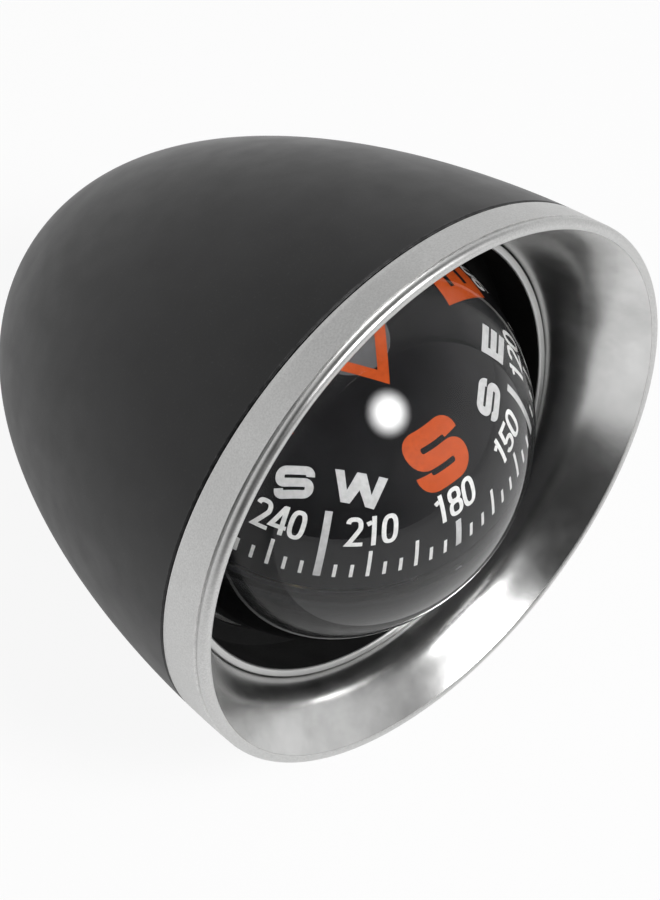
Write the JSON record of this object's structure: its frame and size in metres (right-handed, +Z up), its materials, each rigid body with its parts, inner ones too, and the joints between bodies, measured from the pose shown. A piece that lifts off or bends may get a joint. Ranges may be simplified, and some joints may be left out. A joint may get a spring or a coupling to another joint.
{
  "type": "binnacle compass",
  "caption": "Bullet-shaped hooded compass: a liquid-filled clear ball holds a gimballed domed card behind a flared silver mouth, on a low oval foot.",
  "frame": {"origin": "middle of the foot pad's underside, on the surface the compass stands on", "axes": "+Z up; the mouth faces -Y and tilts up 24.3 degrees; +X is on the right of a person who looks into the mouth"},
  "size_m": [0.1124, 0.1242, 0.1342],
  "materials": {
    "hood_paint": "satin charcoal powder coat",
    "satin_metal": "bead-blasted, clear anodised",
    "polished_metal": "spun and polished",
    "clear_plastic": "clear moulded acrylic",
    "rubber": "matte",
    "brass": "turned",
    "steel": "turned or stamped",
    "red_lamp": "translucent red lens",
    "jewel_red": "polished synthetic sapphire",
    "card_black": "printed matte black",
    "float_foam": "closed-cell foam",
    "hub_grey": "moulded grey",
    "marking_white": "printed white",
    "marking_orange": "printed orange",
    "black_plastic": "moulded black"
  },
  "bodies": {
    "housing": {"foot": "hood_paint", "foot_pad": "rubber", "foot_screw_1": "steel", "foot_screw_2": "steel", "foot_nut_1": "steel", "foot_nut_2": "steel", "hood": "hood_paint", "trim_ring": "satin_metal", "trim_seal": "rubber", "reflector": "polished_metal", "inner_ring": "satin_metal", "clear_dome": "clear_plastic", "bowl": "black_plastic", "filler_plug": "brass", "filler_washer": "rubber", "capsule_seal": "rubber", "shock_ring": "rubber", "flange_screw_1": "steel", "flange_screw_2": "steel", "flange_screw_3": "steel", "flange_screw_4": "steel", "flange_screw_5": "steel", "flange_screw_6": "steel", "diaphragm": "rubber", "diaphragm_cover": "black_plastic", "cover_screw_1": "steel", "cover_screw_2": "steel", "cover_screw_3": "steel", "compensator_block": "black_plastic", "block_screw_1": "steel", "block_screw_2": "steel", "lamp_holder": "black_plastic", "lamp": "red_lamp", "lamp_cable": "rubber", "cable_grommet": "rubber"},
    "gimbal": {"gimbal_ring": "black_plastic", "gimbal_pin_left": "steel", "gimbal_pin_right": "steel", "lubber_pin": "marking_white"},
    "cradle": {"cradle": "black_plastic", "cradle_pin_front": "steel", "cradle_pin_rear": "steel", "pivot_post": "brass", "pivot_pin": "steel", "post_nut": "brass", "counterweight": "steel"},
    "card": {"card": "card_black", "card_float": "float_foam", "hub_cap": "hub_grey", "jewel_cup": "brass", "jewel": "jewel_red", "card_magnet_left": "steel", "card_magnet_right": "steel"},
    "cross_rod": {"cross_rod": "brass", "cross_magnet": "steel", "cross_clip_left": "steel", "cross_clip_right": "steel"},
    "long_rod": {"long_rod": "brass", "long_magnet": "steel", "long_clip": "steel"}
  },
  "joints": [
    {"name": "gimbal_pitch", "type": "hinge", "parent": "housing", "child": "gimbal", "pos_m": [0, -0.017, 0.066], "axis": [1, 0, 0], "range_deg": [-30, 30]},
    {"name": "cradle_roll", "type": "hinge", "parent": "gimbal", "child": "cradle", "pos_m": [0, -0.017, 0.066], "axis": [0, 1, 0], "range_deg": [-30, 30]},
    {"name": "card_spin", "type": "hinge", "parent": "cradle", "child": "card", "pos_m": [0, -0.017, 0.066], "axis": [0, 0, 1], "continuous": true},
    {"name": "cross_rod_turn", "type": "hinge", "parent": "housing", "child": "cross_rod", "pos_m": [0, -0.011, 0.0203], "axis": [1, 0, 0], "continuous": true},
    {"name": "long_rod_turn", "type": "hinge", "parent": "housing", "child": "long_rod", "pos_m": [0, -0.017, 0.0203], "axis": [0, 1, 0], "continuous": true}
  ]
}
